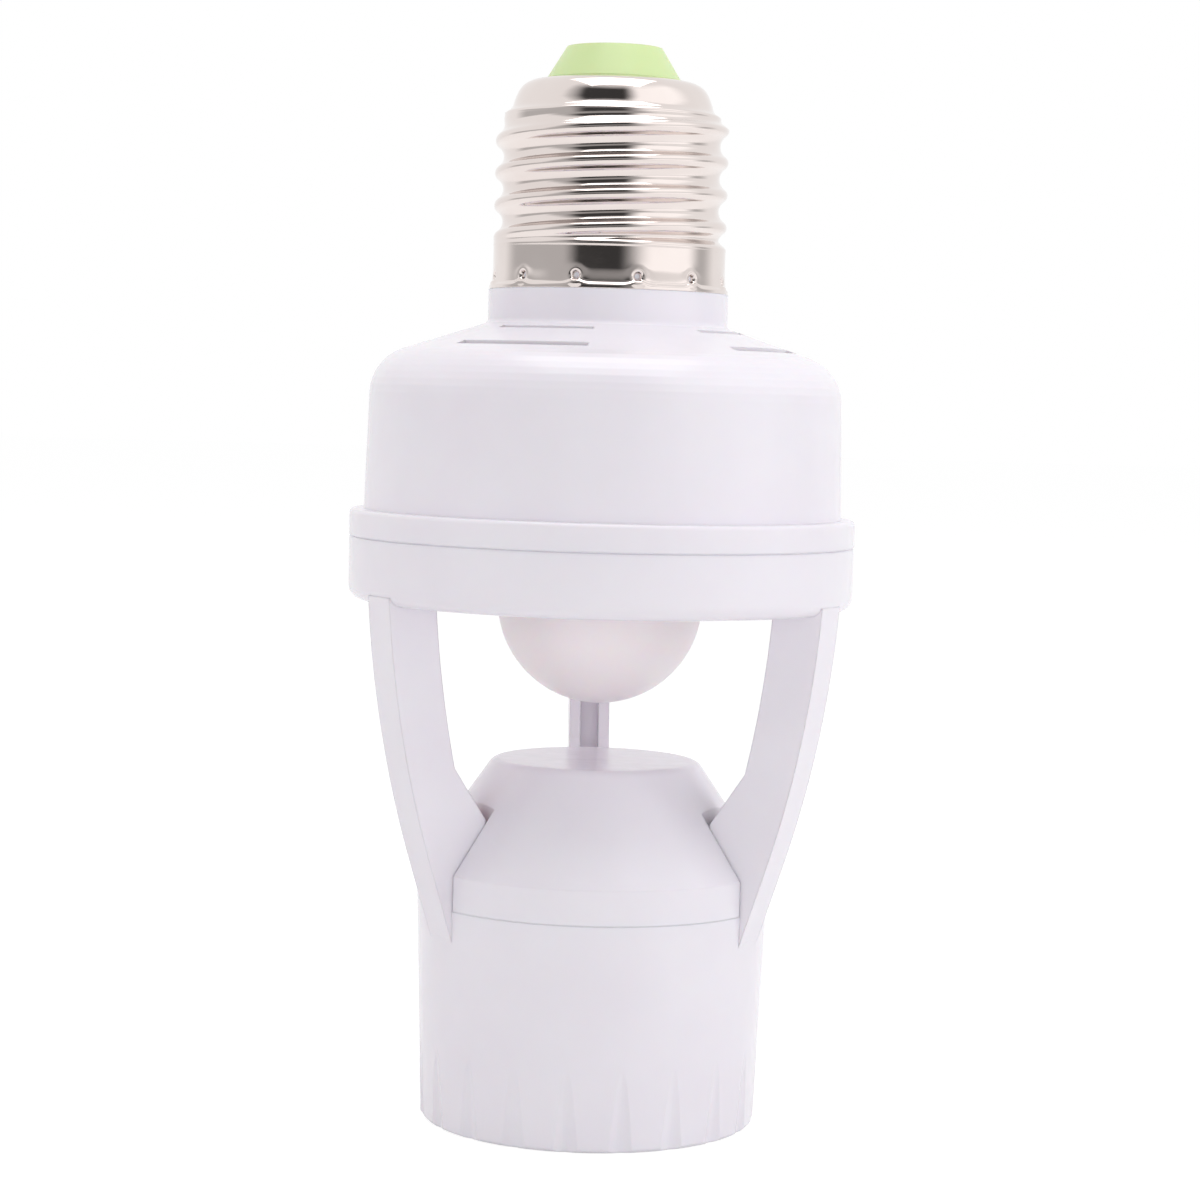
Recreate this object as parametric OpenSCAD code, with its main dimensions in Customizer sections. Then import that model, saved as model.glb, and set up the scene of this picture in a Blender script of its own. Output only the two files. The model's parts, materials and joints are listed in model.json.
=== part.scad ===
// Motion sensor lamp holder. It screws into a lamp holder by its cap, hangs a sensor head below
// it, and carries a lamp in the socket at the end of three arms. It stands on the socket's rim.
// The origin is the centre of that rim, +Z runs up the axis, and the arm without a wire lies at +Y.

/* [Lamp cup] */
// Radius of the cup's rim, over the flutes
cup_rim_r = 19.1; // [18.8:0.1:21]
// Height of the cup, from its rim to the cover's seam
cup_h = 25.1; // [24:0.1:30]
// Growth of the cup's radius from rim to seam, the draft of the mould
cup_draft = 0.9; // [0.3:0.1:1.4]
// Wall of the cup at its rim
cup_wall = 1.9; // [1.5:0.1:2.4]
// Number of flutes round the rim
flute_count = 20; // [12:1:26]
// Depth of a flute at the rim
flute_depth = 0.45; // [0.3:0.05:0.6]
// Height at which a flute fades out
flute_h = 9.5; // [5:0.5:14]
// Share of the rim that the flutes take, with their soft edges
flute_share = 0.73; // [0.5:0.01:0.85]

/* [Wiring cover] */
// Height of the cover's upright skirt
cover_skirt_h = 3.9; // [2.5:0.1:6]
// Height of the cover's cone above the skirt
cover_cone_h = 12; // [10:0.1:16]
// Radius of the cover's flat top, before its edge is rounded
cover_top_r = 11.7; // [10.5:0.1:13]
// Rounding of the cover's top edge
cover_round = 1.5; // [0.5:0.1:2.5]
// Wall of the cover
cover_wall = 1.6; // [1.2:0.1:2]

/* [Arms] */
// Number of arms
arm_count = 3; // [3:1:4]
// Width of an arm, along the ring
arm_w = 4.8; // [4:0.1:6]
// Depth of an arm, towards the axis
arm_depth = 5.85; // [5:0.05:6.5]
// Height of the window between the cover's top and the sensor head
window_h = 17.9; // [15:0.1:26]
// Radius of the long curve of an arm
arm_bend_r = 119.5; // [100:0.5:150]
// Distance that an arm stands out from the cover at the foot of its curve
arm_stand = 2.7; // [2:0.1:3.6]
// Length that an arm runs on down the cup below the seam
arm_tail = 5.6; // [4:0.1:8]
// Length that an arm's gusset covers along the cover's cone
gusset_l = 7.4; // [5:0.1:9]
// Slope of the gusset's upper edge from upright, in degrees
gusset_slope = 34.5; // [28:0.5:42]
// Width of the wire groove in an arm's inner edge
groove_w = 2.2; // [2:0.1:2.6]
// Depth of the wire groove
groove_depth = 2.1; // [1.9:0.1:2.4]

/* [Sensor head] */
// Radius of the ring that carries the head
ring_r = 28.6; // [28:0.1:31]
// Height of the ring
ring_h = 7.1; // [6.5:0.1:9]
// Rounding of the ring's lower edge
ring_round = 1.5; // [0.5:0.1:2.5]
// Wall of the ring
ring_wall = 2; // [1.6:0.1:2.6]
// Thickness of the ring's floor
floor_t = 2; // [1.6:0.1:2.4]
// Height of the housing's flange above the seam
flange_h = 3.05; // [2:0.05:5]
// Step from the flange in to the housing
head_step = 1.6; // [1.2:0.05:2.2]
// Loss of the housing's radius from the flange to the shoulder, the draft of the mould
head_draft = 0.45; // [0.2:0.05:1]
// Height of the housing from the flange to the foot of its neck
head_h = 21.25; // [20:0.25:30]
// Fall of the shoulder from level, in degrees
shoulder_fall = 18.4; // [12:0.2:24]
// Rounding of the shoulder
shoulder_round = 5.4; // [3:0.1:7]
// Wall of the housing
head_wall = 1.8; // [1.4:0.1:2.2]
// Height of the bare neck below the screw cap
neck_h = 3.75; // [2:0.05:6]

/* [Vents] */
// Number of vent slots in each row on the shoulder
vent_count = 4; // [2:1:4]
// Angle that one slot spans, in degrees
vent_span = 44; // [20:1:50]
// Width of a slot in the outer row
vent_w = 1.15; // [0.8:0.05:1.4]
// Place of the outer row between the neck and the housing's edge, as a share of that width
vent_outer_share = 0.563; // [0.52:0.005:0.6]
// Distance of the inner row from the neck
vent_inner_gap = 1.75; // [1.5:0.05:2.4]
// Width of a slot in the inner row
vent_inner_w = 0.7; // [0.5:0.05:0.9]

/* [Screw cap] */
// Radius over the crests of the rolled thread
thread_r = 13.15; // [12.95:0.05:13.3]
// Depth of the thread
thread_depth = 0.95; // [0.7:0.05:1.05]
// Distance from crest to crest
thread_pitch = 3.63; // [3.3:0.01:4]
// Height of the threaded length
thread_h = 14.6; // [12:0.1:18]
// Thickness of the cap's sheet
cap_sheet = 0.3; // [0.25:0.05:0.4]
// Height of the plain skirt below the thread
skirt_h = 4.95; // [4.5:0.05:8]
// Height of the cap's dome, from the thread to the insulator
cap_dome_h = 4; // [3.5:0.1:6]
// Flare of the cap's lower edge
cap_flare = 0.35; // [0.1:0.05:0.4]
// Number of punch marks that crimp the cap on the neck
punch_count = 12; // [6:1:16]
// Radius of a punch mark
punch_r = 0.55; // [0.4:0.05:0.7]
// Distance from the crests in to the insulator
cap_land = 5.55; // [5.2:0.05:6]
// Loss of the insulator's radius from its foot to its top
insulator_taper = 2.2; // [1.6:0.1:2.6]
// Height of the insulator above the cap
insulator_h = 3.8; // [3:0.1:5]
// Width of the insulator's rim round the contact button
button_rim = 1; // [0.8:0.1:1.6]

/* [Lens and sensors] */
// Radius of the lens dome, as a share of the ring's radius
dome_share = 0.4073; // [0.38:0.0005:0.44]
// Wall of the lens dome
dome_wall = 0.6; // [0.5:0.05:1]
// Radius of the motion sensor's can
pir_r = 4.6; // [4:0.1:4.8]
// Height of the motion sensor's can
pir_h = 4.6; // [4:0.1:5]
// Radius of the light sensor
light_r = 2.5; // [2:0.1:2.8]
// Gap from the lens's flange to the light sensor
light_gap = 0.55; // [0.2:0.05:0.8]

/* [Circuit board] */
// Room between the circuit board's edge and the housing, which the lamp's wires pass through
board_edge = 3.05; // [2.8:0.05:3.4]
// Thickness of the circuit board
board_t = 1.6; // [1:0.1:2]
// Height of the board above the ring's floor
board_lift = 2.5; // [2.4:0.1:2.9]
// Distance from the board's edge to a screw post
post_margin = 0.7; // [0.5:0.05:1]
// Radius of a screw's shank
screw_r = 1.3; // [1.2:0.05:1.4]
// Radius of a screw's head
screw_head_r = 2.4; // [2.2:0.05:2.5]
// Height of a screw's head
screw_head_h = 1.4; // [1.2:0.05:1.5]
// Depth that a screw reaches into its boss
screw_grip = 7; // [5:0.5:9]
// Radius of a wire over its sleeve
wire_r = 0.85; // [0.7:0.05:0.9]

/* [Lamp socket] */
// Play of a lamp's cap in the socket shell, on the radius
thread_play = 0.25; // [0.2:0.05:0.45]
// Depth of the socket shell's thread
shell_depth = 0.95; // [0.7:0.05:1.05]
// Thickness of the socket shell
shell_sheet = 0.4; // [0.3:0.05:0.5]
// Height of the plain collar at the shell's mouth
shell_collar_h = 2.2; // [2:0.1:3]
// Height of the shell's threaded length
shell_thread_h = 11.5; // [10:0.1:12]
// Thickness of the socket base's flange
base_t = 3; // [2.4:0.1:3.4]
// Thickness of the ledge in the cup that the base is drawn against
ledge_t = 1.6; // [1.3:0.1:2]
// Depth of the base's pad, which holds the contact leaf off the shell
pad_h = 1.5; // [1.2:0.1:1.8]
// Radius of the pad
pad_r = 5.2; // [5.1:0.1:5.3]
// Distance of the socket screws from the axis
socket_screw_place = 8.4; // [8.3:0.05:8.7]
// Thickness of the contact leaf
leaf_t = 0.4; // [0.3:0.05:0.5]
// Width of the contact leaf
leaf_w = 3.6; // [3:0.1:4.4]
// Reach of the leaf's tip past the axis
leaf_reach = 3.4; // [2.5:0.1:4]
// Drop of the leaf's tip below its foot
leaf_drop = 2.6; // [2:0.1:3]
// Distance of the leaf's rivet from the axis
leaf_rivet_place = 3.1; // [3:0.1:3.3]
// Radius of a rivet's shank
rivet_r = 0.8; // [0.7:0.05:0.9]

/* [Fits] */
// Gap between pieces that slide together when the holder is put together
fit_gap = 0.15; // [0.1:0.05:0.2]
// Gap round a screw, a rivet or a wire in its hole
hole_gap = 0.1; // [0.05:0.05:0.15]
// Gap above and below the contact leaf's foot, which lets the leaf rock
leaf_gap = 0.35; // [0.3:0.05:0.4]

/* [Hidden] */
$fn = 96;

// Length by which a cutting solid runs past what it cuts
over = 1;
// Steps in one rounded corner of an outline
round_steps = 8;
// Steps in the long curve of an arm
bend_steps = 14;
// Chamfer on the edges that meet at the head's seam, which shows as a fine line
seam_chamfer = 0.15;

// Levels above the rim, from the cup up to the contact button
cup_top_r = cup_rim_r + cup_draft;
mouth_r = cup_rim_r - cup_wall;
cone_z = cup_h + cover_skirt_h;
cover_top_z = cone_z + cover_cone_h;
ring_z = cover_top_z + window_h;
floor_z = ring_z + floor_t;
seam_z = ring_z + ring_h;
flange_z = seam_z + flange_h;
neck_z = flange_z + head_h;
cap_z = neck_z + neck_h;
thread_z = cap_z + skirt_h;
thread_top_z = thread_z + thread_h;
insulator_z = thread_top_z + cap_dome_h;
top_z = insulator_z + insulator_h;
board_z = floor_z + board_lift;
board_top_z = board_z + board_t;

// Angle of the cover's cone from upright
cone_angle = atan((cup_top_r - cover_top_r) / cover_cone_h);

// The arms: the first leans out at +Y and has no wire, the next two carry the lamp's wires
arm_turn = 90;
live_arm_turn = arm_turn + 360 / arm_count;
neutral_arm_turn = arm_turn - 360 / arm_count;

// Vent slots sit this far round from +X, and the screw posts stand in the gaps between them
vent_turn = 60;
post_turns = [15, 195];

// Radii of the cap and of the neck, whose boss steps in inside the cap's skirt and its thread
root_r = thread_r - thread_depth;
insulator_r = thread_r - cap_land;
insulator_top_r = insulator_r - insulator_taper;
button_r = insulator_top_r - button_rim;
skirt_boss_r = thread_r - cap_sheet - hole_gap;
thread_boss_r = root_r - cap_sheet - hole_gap;
neck_r = thread_r + cap_flare + fit_gap / 3;
bore_r = thread_boss_r - head_wall;

// Radii of the sensor head, from its flange in to its board, its posts and its lens
flange_r = ring_r + 0.05;
head_base_r = flange_r - head_step;
head_top_r = head_base_r - head_draft;
head_inner_r = head_base_r - head_wall;
board_r = head_inner_r - board_edge;
post_r = screw_r + 1.2;
post_place = board_r - post_margin - post_r;
dome_r = ring_r * dome_share;
lens_flange_w = 1.8;
light_place = dome_r + lens_flange_w + light_gap + light_r;
vent_outer_r = neck_r + (head_top_r - neck_r) * vent_outer_share;
vent_inner_r = neck_r + vent_inner_gap;

// Radius over the roots of the socket shell's thread
shell_r = thread_r + thread_play;

// Outline helpers: where two lines meet is rounded with an arc that touches both
function unit(v) = v / norm(v);
function corner(a, b, c, r) =
    let (u = unit(a - b),
         w = unit(c - b),
         half = acos(u * w) / 2,
         middle = b + unit(u + w) * r / sin(half),
         first = b + u * r / tan(half),
         last = b + w * r / tan(half),
         a0 = atan2(first[1] - middle[1], first[0] - middle[0]),
         a1 = atan2(last[1] - middle[1], last[0] - middle[0]),
         turn = ((a1 - a0 + 540) % 360) - 180)
    [for (i = [0 : round_steps]) middle + r * [cos(a0 + turn * i / round_steps), sin(a0 + turn * i / round_steps)]];

// A ring standing on z = 0
module ring(outer, inner, h) {
    difference() {
        cylinder(r = outer, h = h);
        translate([0, 0, -over]) cylinder(r = inner, h = h + 2 * over);
    }
}

// Puts its children at an angle round the axis, and r out from it
module at(turn, r = 0) {
    rotate([0, 0, turn]) translate([r, 0, 0]) children();
}

// A sheet rolled into a thread: its outer face lies at r over the crests, a crest passes +X at
// the height crest_z, and the thread fades to the crests below and, by top, to crests or roots above
module rolled_thread(r, depth, z0, z1, sheet, crest_z, top) {
    sides = 36;
    row_h = 0.5;
    fade_h = 1.2;
    tuck_h = 0.3;
    tuck_r = 0.07;
    rows = round((z1 - z0) / row_h);
    function ramp(x) = let (c = min(1, max(0, x))) c * c * (3 - 2 * c);
    function groove(turn, z) =
        let (wave = (1 - cos(360 * (z - crest_z) / thread_pitch - turn)) / 2,
             below = ramp((z - z0) / fade_h),
             above = ramp((z1 - z) / fade_h))
        top * (1 - above) + above * below * wave;
    function face_r(turn, z) = r - depth * groove(turn, z);
    levels = concat([z0 - tuck_h], [for (j = [0 : rows]) z0 + 0.1 + (z1 - z0 - 0.2) * j / rows], [z1 + tuck_h]);
    last = len(levels) - 1;
    function is_end(j) = j == 0 || j == last;
    function clamped(z) = min(z1, max(z0, z));
    function face_row(j, inward) =
        [for (i = [0 : sides - 1])
            let (turn = 360 * i / sides,
                 mid = is_end(j) ? tuck_r * (inward == 0 ? -1 : 1) : 0,
                 rr = face_r(turn, clamped(levels[j])) - inward + mid)
            [rr * cos(turn), rr * sin(turn), levels[j]]];
    points = concat([for (j = [0 : last]) each face_row(j, 0)], [for (j = [0 : last]) each face_row(j, sheet)]);
    inner = sides * (last + 1);
    function next(i) = (i + 1) % sides;
    polyhedron(points, concat(
        [for (j = [0 : last - 1], i = [0 : sides - 1]) [j * sides + i, (j + 1) * sides + i, (j + 1) * sides + next(i)]],
        [for (j = [0 : last - 1], i = [0 : sides - 1]) [j * sides + i, (j + 1) * sides + next(i), j * sides + next(i)]],
        [for (j = [0 : last - 1], i = [0 : sides - 1])
            [inner + j * sides + i, inner + (j + 1) * sides + next(i), inner + (j + 1) * sides + i]],
        [for (j = [0 : last - 1], i = [0 : sides - 1])
            [inner + j * sides + i, inner + j * sides + next(i), inner + (j + 1) * sides + next(i)]],
        [for (i = [0 : sides - 1]) [i, next(i), inner + next(i)]],
        [for (i = [0 : sides - 1]) [i, inner + next(i), inner + i]],
        [for (i = [0 : sides - 1]) [last * sides + i, inner + last * sides + next(i), last * sides + next(i)]],
        [for (i = [0 : sides - 1]) [last * sides + i, inner + last * sides + i, inner + last * sides + next(i)]]));
}

// A wire along a smooth curve through hand-placed points, straight from the first to the second
// and at its other end, so that its ends lie flat on what they meet
module wire(points, ref) {
    sides = 8;
    steps = 4;
    n = len(points);
    function bend(i, s) =
        let (a = points[i - 1], b = points[i], c = points[i + 1], d = points[i + 2])
        0.5 * (2 * b + s * (c - a) + s * s * (2 * a - 5 * b + 4 * c - d) + s * s * s * (3 * b - 3 * c + d - a));
    path = concat([points[0]], [for (i = [1 : n - 3], k = [0 : steps - 1]) bend(i, k / steps)],
                  [points[n - 2], points[n - 1]]);
    last = len(path) - 1;
    function along(i) = unit(path[min(last, i + 1)] - path[max(0, i - 1)]);
    rings = [for (i = [0 : last])
        let (t = along(i), u = unit(cross(t, ref)), w = cross(t, u))
        for (k = [0 : sides - 1]) path[i] + wire_r * (u * cos(360 * k / sides) + w * sin(360 * k / sides))];
    polyhedron(rings, concat(
        [[for (k = [0 : sides - 1]) k]],
        [[for (k = [sides - 1 : -1 : 0]) last * sides + k]],
        [for (i = [0 : last - 1], k = [0 : sides - 1])
            [i * sides + k, (i + 1) * sides + k, (i + 1) * sides + (k + 1) % sides]],
        [for (i = [0 : last - 1], k = [0 : sides - 1])
            [i * sides + k, (i + 1) * sides + (k + 1) % sides, i * sides + (k + 1) % sides]]));
}

// Arm outline, in (distance from the axis, height)

// The gusset's tip lies on the cover's cone
tip_z = cone_z + gusset_l * cos(cone_angle);
tip_r = cup_top_r - gusset_l * sin(cone_angle);
// An arm's long curve hangs between the ring and a point just above the cover's skirt, and below
// that it runs straight on into the cup
arm_step = 0.1;
bend_top = [ring_r - arm_step, ring_z];
bend_end_z = cone_z + 1.4;
bend_foot = [cup_top_r + arm_stand, bend_end_z];
bend_chord = bend_top - bend_foot;
bend_centre = (bend_top + bend_foot) / 2
    + unit([-bend_chord[1], bend_chord[0]]) * sqrt(pow(arm_bend_r, 2) - bend_chord * bend_chord / 4);
function bend_r(z, inset) = bend_centre[0] - inset + sqrt(pow(arm_bend_r, 2) - pow(bend_centre[1] - z, 2));
arm_foot_r = cup_top_r - cup_wall / 2;
arm_foot_z = cup_h - arm_tail;
// The arms reach up into the middle of the ring's floor
arm_top_z = ring_z + floor_t / 2;
spigot_r = cup_top_r - cup_wall;

// Height at which the gusset's edge, moved into the material by inset, meets the arm's inner edge
function gusset_edge_z(r, inset) =
    tip_z - inset * sin(gusset_slope) + (r - tip_r - inset * cos(gusset_slope)) / tan(gusset_slope);
function meet_z(inset, z, n = 16) =
    n == 0 ? z : meet_z(inset, gusset_edge_z(bend_r(z, arm_depth - inset), inset), n - 1);
function tip(inset) = [tip_r + inset * cos(gusset_slope), tip_z - inset * sin(gusset_slope)];
function inner_edge(inset, top) =
    let (low = meet_z(inset, cover_top_z))
    concat([for (i = [0 : bend_steps]) let (z = top + (low - top) * i / bend_steps)
        [bend_r(z, arm_depth - inset), z]], [tip(inset)]);
function outer_edge() = [for (i = [0 : bend_steps])
    let (z = bend_end_z + (arm_top_z - bend_end_z) * i / bend_steps) [bend_r(z, 0), z]];

module arm_profile() {
    polygon(concat(
        inner_edge(0, arm_top_z),
        [[tip_r, tip_z - cover_wall / sin(cone_angle)],
         [spigot_r, cone_z - cover_wall / 2],
         [spigot_r, arm_foot_z],
         [arm_foot_r, arm_foot_z]],
        outer_edge()));
}

// The groove runs from a hole in the ring's floor to the gusset's tip, and on in under the cover
into_cover = 3;
hole_margin = 0.2;
function under_cover(inset) = tip(inset) - into_cover * [sin(gusset_slope), cos(gusset_slope)];
module groove_profile() {
    top = floor_z + over;
    open = ring_z - over;
    polygon(concat(
        inner_edge(groove_depth, top),
        [under_cover(groove_depth), under_cover(-groove_depth), [tip_r - groove_depth, open],
         [bend_r(open, arm_depth + hole_margin), open], [bend_r(top, arm_depth + hole_margin), top]]));
}

// A flat outline in (distance from the axis, height), given a width and stood up at an angle
module stood_up(turn, w) {
    rotate([0, 0, turn]) rotate([90, 0, 0]) translate([0, 0, -w / 2]) linear_extrude(w) children();
}

// Levels of the lamp socket in the cup
ledge_top_z = cup_h - 2;
ledge_z = ledge_top_z - ledge_t;
ledge_r = mouth_r - 2;
base_z = ledge_z - base_t;
pad_z = base_z - pad_h;
foot_z = pad_z - leaf_gap - leaf_t;
rim_edge = 0.3;

// A flute's outline across the wall is one wave, whose ends stand a little way outside the wall
flute_w = 2 * PI * cup_rim_r / flute_count * flute_share;
flute_rise = 0.12;
flute_steps = 12;
module flute_outline() {
    edge = cup_rim_r + flute_rise;
    polygon(concat(
        [[edge + over, -flute_w / 2], [edge, -flute_w / 2]],
        [for (i = [1 : flute_steps - 1]) let (y = flute_w * (i / flute_steps - 0.5))
            [edge - (flute_depth + flute_rise) * pow(cos(180 * y / flute_w), 2), y]],
        [[edge, flute_w / 2], [edge + over, flute_w / 2]]));
}
module cup() {
    difference() {
        rotate_extrude() polygon([
            [mouth_r, rim_edge], [mouth_r + rim_edge, 0], [cup_rim_r - rim_edge, 0], [cup_rim_r, rim_edge],
            [cup_top_r, cup_h], [spigot_r, cup_h], [spigot_r, ledge_top_z], [ledge_r, ledge_top_z],
            [ledge_r, ledge_z], [mouth_r, ledge_z]]);
        // Each flute leans out of the wall, so that it is deepest at the rim
        for (i = [0 : flute_count - 1]) at(360 * (i + 0.5) / flute_count + 90, cup_rim_r)
            rotate([0, atan(flute_depth / flute_h + cup_draft / cup_h), 0])
                translate([-cup_rim_r, 0, -over]) linear_extrude(flute_h + 4 * over) flute_outline();
    }
}

dome_hole_r = dome_r + fit_gap;
module ring_with_floor() {
    rotate_extrude() polygon(concat(
        [[dome_hole_r, ring_z]],
        corner([dome_hole_r, ring_z], [ring_r, ring_z], [ring_r, seam_z], ring_round),
        [[ring_r, seam_z - seam_chamfer], [ring_r - seam_chamfer, seam_z],
         [ring_r - ring_wall, seam_z], [ring_r - ring_wall, floor_z], [dome_hole_r, floor_z]]));
}

light_turn = 60;
head_sink = screw_head_h + 0.2;
// A wire's place in its groove, and its hole through the ring's floor
wire_inset = groove_depth - wire_r - hole_gap;

module bracket() color("white") difference() {
    union() {
        cup();
        ring_with_floor();
        for (i = [0 : arm_count - 1]) stood_up(arm_turn + 360 * i / arm_count, arm_w) arm_profile();
        for (turn = post_turns) at(turn, post_place) translate([0, 0, floor_z - floor_t / 2])
            cylinder(r = post_r, h = board_z - floor_z + floor_t / 2);
    }
    for (i = [0 : arm_count - 1]) stood_up(arm_turn + 360 * i / arm_count, groove_w) groove_profile();
    for (turn = post_turns) at(turn, post_place) {
        translate([0, 0, ring_z - over]) cylinder(r = screw_r + hole_gap, h = board_z);
        translate([0, 0, ring_z - over]) cylinder(r = screw_head_r + fit_gap, h = head_sink + over);
    }
    at(light_turn, light_place) translate([0, 0, ring_z - over]) cylinder(r = light_r - 0.4, h = floor_t + 2 * over);
}

// The cover is let down over the gussets, so its slots are open below
slot_end_gap = 1;
spigot_h = 1.8;
spigot_wall = 1.4;
cover_post_r = screw_r + 1.4;
socket_screw_turns = [90, 270];
module cover_outline(inset, foot) {
    polygon(concat(
        [[0, foot], [cup_top_r - inset, foot], [cup_top_r - inset, cone_z - inset * tan(cone_angle / 2)]],
        corner([cup_top_r - inset, cone_z - inset * tan(cone_angle / 2)],
               [cover_top_r - inset * tan(45 - cone_angle / 2), cover_top_z - inset],
               [0, cover_top_z - inset], max(cover_round - inset, 0.2)),
        [[0, cover_top_z - inset]]));
}
module wiring_cover() color("white") difference() {
    union() {
        rotate_extrude() cover_outline(0, cup_h);
        translate([0, 0, ledge_top_z]) cylinder(r = spigot_r - fit_gap, h = spigot_h + over);
    }
    difference() {
        union() {
            rotate_extrude() cover_outline(cover_wall, cup_h + over);
            translate([0, 0, ledge_top_z - over]) cylinder(r = spigot_r - fit_gap - spigot_wall, h = cup_h - ledge_top_z + 3 * over);
        }
        for (turn = socket_screw_turns) at(turn, socket_screw_place) cylinder(r = cover_post_r, h = cover_top_z);
    }
    for (turn = socket_screw_turns) at(turn, socket_screw_place) cylinder(r = screw_r + hole_gap, h = ledge_z + screw_grip);
    for (i = [0 : arm_count - 1]) at(arm_turn + 360 * i / arm_count)
        translate([tip_r - slot_end_gap, -arm_w / 2 - fit_gap, 0]) cube([cup_top_r, arm_w + 2 * fit_gap, cover_top_z + over]);
}

// Outline of the sensor head's housing, with the neck that carries the cap
flange_round = 0.5;
shoulder_z = neck_z - (head_top_r - neck_r) * tan(shoulder_fall);
lip_h = 1.8;
lip_r = ring_r - ring_wall - fit_gap;
boss_top_z = thread_top_z - 1.6;
neck_fillet = 0.6;
module housing_outline() {
    polygon(concat(
        [[0, seam_z - lip_h], [lip_r, seam_z - lip_h], [lip_r, seam_z],
         [flange_r - seam_chamfer, seam_z], [flange_r, seam_z + seam_chamfer]],
        corner([flange_r, seam_z], [flange_r, flange_z], [head_base_r, flange_z], flange_round),
        [[head_base_r, flange_z]],
        corner([head_base_r, flange_z], [head_top_r, shoulder_z], [neck_r, neck_z], shoulder_round),
        corner([head_top_r, shoulder_z], [neck_r, neck_z], [neck_r, cap_z], neck_fillet),
        [[neck_r, cap_z], [skirt_boss_r, cap_z], [skirt_boss_r, thread_z - 1],
         [thread_boss_r, thread_z - 0.5], [thread_boss_r, boss_top_z], [0, boss_top_z]]));
}
module housing_cavity() {
    drop = head_wall / cos(shoulder_fall);
    polygon(concat(
        [[0, seam_z - lip_h - over], [head_inner_r, seam_z - lip_h - over], [head_inner_r, flange_z]],
        corner([head_inner_r, flange_z],
               [head_top_r - head_wall, shoulder_z - drop + head_wall * tan(shoulder_fall)],
               [bore_r, neck_z - drop + (neck_r - bore_r) * tan(shoulder_fall)],
               shoulder_round - head_wall),
        [[bore_r, neck_z - drop + (neck_r - bore_r) * tan(shoulder_fall)],
         [bore_r, boss_top_z + over], [0, boss_top_z + over]]));
}
module vent_row(r, w) {
    for (i = [0 : vent_count - 1]) rotate([0, 0, vent_turn + 360 * i / vent_count - vent_span / 2])
        translate([0, 0, flange_z]) rotate_extrude(angle = vent_span) translate([r - w / 2, 0]) square([w, head_h + over]);
}
module upper_housing() color("white") difference() {
    rotate_extrude() housing_outline();
    difference() {
        rotate_extrude() housing_cavity();
        for (turn = post_turns) at(turn, post_place) translate([0, 0, board_top_z]) cylinder(r = post_r, h = neck_z - board_top_z);
    }
    for (turn = post_turns) at(turn, post_place) translate([0, 0, board_top_z - over])
        cylinder(r = screw_r + hole_gap, h = screw_grip + 2 * over);
    vent_row(vent_outer_r, vent_w);
    vent_row(vent_inner_r, vent_inner_w);
}

// The screw cap: its skirt, its thread and its dome are one drawn sheet
flare_h = 0.95;
cap_hole_r = insulator_r - 0.3;
// Height of a crest above the thread's foot, at +X
crest_lift = 2.63;
// The punch marks' height above the cap's edge, and their turn from +X
punch_lift = 1.4;
punch_turn = 11.5;
// The dome steps in from the thread's roots, leans in, and is rounded over to the insulator
dome_step = 0.7;
dome_lean = 25;
dome_round = 1.6;
dome_crown = 1.1;
module cap_skirt() {
    rotate_extrude() polygon([
        [thread_r - cap_sheet + cap_flare, cap_z], [thread_r + cap_flare, cap_z],
        [thread_r + cap_flare, cap_z + cap_sheet], [thread_r + cap_flare / 3, cap_z + flare_h / 2],
        [thread_r, cap_z + flare_h], [thread_r, thread_z],
        [thread_r - cap_sheet, thread_z], [thread_r - cap_sheet, cap_z + flare_h],
        [thread_r - cap_sheet + cap_flare / 3, cap_z + flare_h / 2]]);
}
module dome_outline(inset) {
    foot = [root_r - dome_step, thread_top_z + cap_sheet];
    top = [cap_hole_r, insulator_z];
    peak_h = cap_dome_h - cap_sheet - dome_crown;
    peak = foot + [-peak_h * tan(dome_lean), peak_h];
    polygon(concat(
        [[0, thread_top_z - over * inset / cap_sheet], [root_r - inset, thread_top_z - over * inset / cap_sheet],
         [root_r - inset, thread_top_z], foot - [inset, 0]],
        corner(foot - [inset, 0], peak - [inset, inset], top - [inset, inset], dome_round - inset),
        [top - [inset, inset], [0, insulator_z - inset]]));
}
module screw_cap() color("silver") union() {
    difference() {
        cap_skirt();
        for (i = [0 : punch_count - 1]) at(punch_turn + 360 * i / punch_count, thread_r - over)
            translate([0, 0, cap_z + punch_lift]) rotate([0, 90, 0]) cylinder(r = punch_r, h = 2 * over, $fn = 24);
    }
    rolled_thread(thread_r, thread_depth, thread_z, thread_top_z, cap_sheet, thread_z + crest_lift, 1);
    difference() {
        rotate_extrude() dome_outline(0);
        rotate_extrude() dome_outline(cap_sheet);
        cylinder(r = cap_hole_r, h = top_z);
    }
}

plug_h = 2.2;
stem_r = 1.4;
stem_tail = 1;
button_h = 0.9;
module cap_insulator() color("yellowgreen") difference() {
    rotate_extrude() polygon([[0, insulator_z - plug_h], [cap_hole_r - hole_gap, insulator_z - plug_h],
        [cap_hole_r - hole_gap, insulator_z], [insulator_r, insulator_z], [insulator_r, insulator_z + 0.2],
        [insulator_top_r, top_z], [0, top_z]]);
    translate([0, 0, top_z - button_h]) cylinder(r = button_r + hole_gap, h = button_h + over);
    cylinder(r = stem_r + hole_gap, h = top_z);
}
module cap_contact() color("gold") {
    translate([0, 0, top_z - button_h]) rotate_extrude()
        polygon([[0, 0], [button_r, 0], [button_r, button_h - 0.3], [button_r - 0.5, button_h], [0, button_h]]);
    translate([0, 0, insulator_z - plug_h - stem_tail])
        cylinder(r = stem_r, h = plug_h + stem_tail + insulator_h - button_h / 2);
}

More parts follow.
